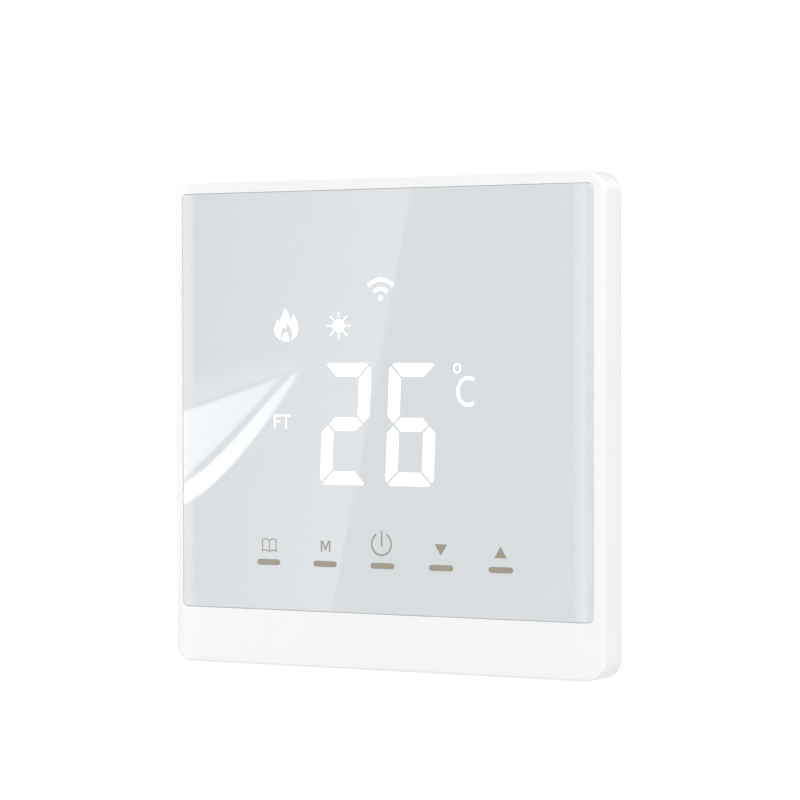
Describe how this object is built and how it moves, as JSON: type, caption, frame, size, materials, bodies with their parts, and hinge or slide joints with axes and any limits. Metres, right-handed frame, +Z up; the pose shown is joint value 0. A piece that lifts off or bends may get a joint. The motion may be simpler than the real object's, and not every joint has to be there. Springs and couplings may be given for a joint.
{
  "type": "wall thermostat",
  "caption": "Square wall thermostat: a slim white display unit with a curved acrylic lens clips onto a screwed-on steel frame and rear power box with rising-clamp terminals.",
  "frame": {"origin": "centre of the object's back on the wall plane, at the middle of the square face", "axes": "+X to the right of someone looking at the display, +Y into the wall, +Z up; the display faces -Y"},
  "size_m": [0.086, 0.038, 0.086],
  "materials": {
    "cover_white": "smooth satin-gloss white plastic with a soft highlight on the rolled edges",
    "lens_acrylic": "polished pale blue-grey acrylic, printed on its back, with white lit digits",
    "diffuser_film": "frosted film",
    "display_block": "white moulded reflector block with open wells",
    "circuit_board": "green solder mask over glass-fibre board, pale legend and gold pads",
    "black_plastic": "fine-grained black moulding",
    "radio_can": "tin-plated shielding can on its own small board",
    "spring_steel": "bright wound spring wire",
    "tray_white": "matt white inner moulding",
    "housing_white": "matt white flame-retardant moulding with fine grain",
    "zinc_steel": "bright zinc-plated pressed steel",
    "screw_steel": "zinc-plated steel",
    "clamp_steel": "nickel-plated folded steel",
    "contact_brass": "tinned brass",
    "pin_gold": "gold-flashed square pins in a moulded strip",
    "terminal_green": "green moulded terminal body",
    "winding_tape": "yellow winding tape over a ferrite core",
    "film_grey": "grey potted box",
    "varistor_blue": "blue dipped epoxy",
    "capacitor_sleeve": "dark shrink sleeve with a pale stripe",
    "lit_marks": "white lit digits and icons that show through the lens",
    "key_print": "pale bronze print of the key bars and key icons on the lens"
  },
  "bodies": {
    "base": {"mounting_frame": "zinc_steel", "rear_housing": "housing_white", "housing_lid": "black_plastic", "power_board": "circuit_board", "relay": "black_plastic", "transformer": "winding_tape", "film_capacitor": "film_grey", "varistor": "varistor_blue", "filter_capacitor": "capacitor_sleeve", "output_capacitor": "capacitor_sleeve", "fuse": "film_grey", "header_socket": "black_plastic", "terminal_block_1": "terminal_green", "terminal_block_2": "terminal_green", "terminal_block_3": "terminal_green", "terminal_contact_1": "contact_brass", "terminal_contact_2": "contact_brass", "terminal_contact_3": "contact_brass", "terminal_contact_4": "contact_brass", "terminal_contact_5": "contact_brass", "terminal_contact_6": "contact_brass", "wall_screw_left": "screw_steel", "wall_screw_right": "screw_steel", "housing_screw_1": "screw_steel", "housing_screw_2": "screw_steel"},
    "display_unit": {"front_cover": "cover_white", "lens_panel": "lens_acrylic", "diffuser_film": "diffuser_film", "led_display_block": "display_block", "display_board": "circuit_board", "wifi_module": "radio_can", "microcontroller": "black_plastic", "display_driver": "black_plastic", "buzzer": "black_plastic", "air_sensor": "black_plastic", "pin_header": "pin_gold", "touch_spring_1": "spring_steel", "touch_spring_2": "spring_steel", "touch_spring_3": "spring_steel", "touch_spring_4": "spring_steel", "touch_spring_5": "spring_steel", "rear_tray": "tray_white", "unit_screw_1": "screw_steel", "unit_screw_2": "screw_steel", "unit_screw_3": "screw_steel", "unit_screw_4": "screw_steel"},
    "screw_1": {"terminal_screw_1": "screw_steel"},
    "clamp_1": {"terminal_clamp_1": "clamp_steel"},
    "screw_2": {"terminal_screw_2": "screw_steel"},
    "clamp_2": {"terminal_clamp_2": "clamp_steel"},
    "screw_3": {"terminal_screw_3": "screw_steel"},
    "clamp_3": {"terminal_clamp_3": "clamp_steel"},
    "screw_4": {"terminal_screw_4": "screw_steel"},
    "clamp_4": {"terminal_clamp_4": "clamp_steel"},
    "screw_5": {"terminal_screw_5": "screw_steel"},
    "clamp_5": {"terminal_clamp_5": "clamp_steel"},
    "screw_6": {"terminal_screw_6": "screw_steel"},
    "clamp_6": {"terminal_clamp_6": "clamp_steel"}
  },
  "joints": [
    {"name": "display_unit_pull", "type": "slide", "parent": "base", "child": "display_unit", "axis": [0, -1, 0], "range_m": [0, 0.03]},
    {"name": "terminal_screw_turn_1", "type": "hinge", "parent": "base", "child": "screw_1", "pos_m": [-0.01905, 0.0211, -0.016], "axis": [0, -1, 0], "range_deg": [0, 2592]},
    {"name": "clamp_rise_1", "type": "slide", "parent": "base", "child": "clamp_1", "axis": [0, 1, 0], "range_m": [0, 0.0036]},
    {"name": "terminal_screw_turn_2", "type": "hinge", "parent": "base", "child": "screw_2", "pos_m": [-0.01143, 0.0211, -0.016], "axis": [0, -1, 0], "range_deg": [0, 2592]},
    {"name": "clamp_rise_2", "type": "slide", "parent": "base", "child": "clamp_2", "axis": [0, 1, 0], "range_m": [0, 0.0036]},
    {"name": "terminal_screw_turn_3", "type": "hinge", "parent": "base", "child": "screw_3", "pos_m": [-0.00381, 0.0211, -0.016], "axis": [0, -1, 0], "range_deg": [0, 2592]},
    {"name": "clamp_rise_3", "type": "slide", "parent": "base", "child": "clamp_3", "axis": [0, 1, 0], "range_m": [0, 0.0036]},
    {"name": "terminal_screw_turn_4", "type": "hinge", "parent": "base", "child": "screw_4", "pos_m": [0.00381, 0.0211, -0.016], "axis": [0, -1, 0], "range_deg": [0, 2592]},
    {"name": "clamp_rise_4", "type": "slide", "parent": "base", "child": "clamp_4", "axis": [0, 1, 0], "range_m": [0, 0.0036]},
    {"name": "terminal_screw_turn_5", "type": "hinge", "parent": "base", "child": "screw_5", "pos_m": [0.01143, 0.0211, -0.016], "axis": [0, -1, 0], "range_deg": [0, 2592]},
    {"name": "clamp_rise_5", "type": "slide", "parent": "base", "child": "clamp_5", "axis": [0, 1, 0], "range_m": [0, 0.0036]},
    {"name": "terminal_screw_turn_6", "type": "hinge", "parent": "base", "child": "screw_6", "pos_m": [0.01905, 0.0211, -0.016], "axis": [0, -1, 0], "range_deg": [0, 2592]},
    {"name": "clamp_rise_6", "type": "slide", "parent": "base", "child": "clamp_6", "axis": [0, 1, 0], "range_m": [0, 0.0036]}
  ],
  "couplings": [
    {"joint": "terminal_screw_turn_1", "follows": "clamp_rise_1", "rad_per_m": 12566},
    {"joint": "terminal_screw_turn_2", "follows": "clamp_rise_2", "rad_per_m": 12566},
    {"joint": "terminal_screw_turn_3", "follows": "clamp_rise_3", "rad_per_m": 12566},
    {"joint": "terminal_screw_turn_4", "follows": "clamp_rise_4", "rad_per_m": 12566},
    {"joint": "terminal_screw_turn_5", "follows": "clamp_rise_5", "rad_per_m": 12566},
    {"joint": "terminal_screw_turn_6", "follows": "clamp_rise_6", "rad_per_m": 12566}
  ]
}
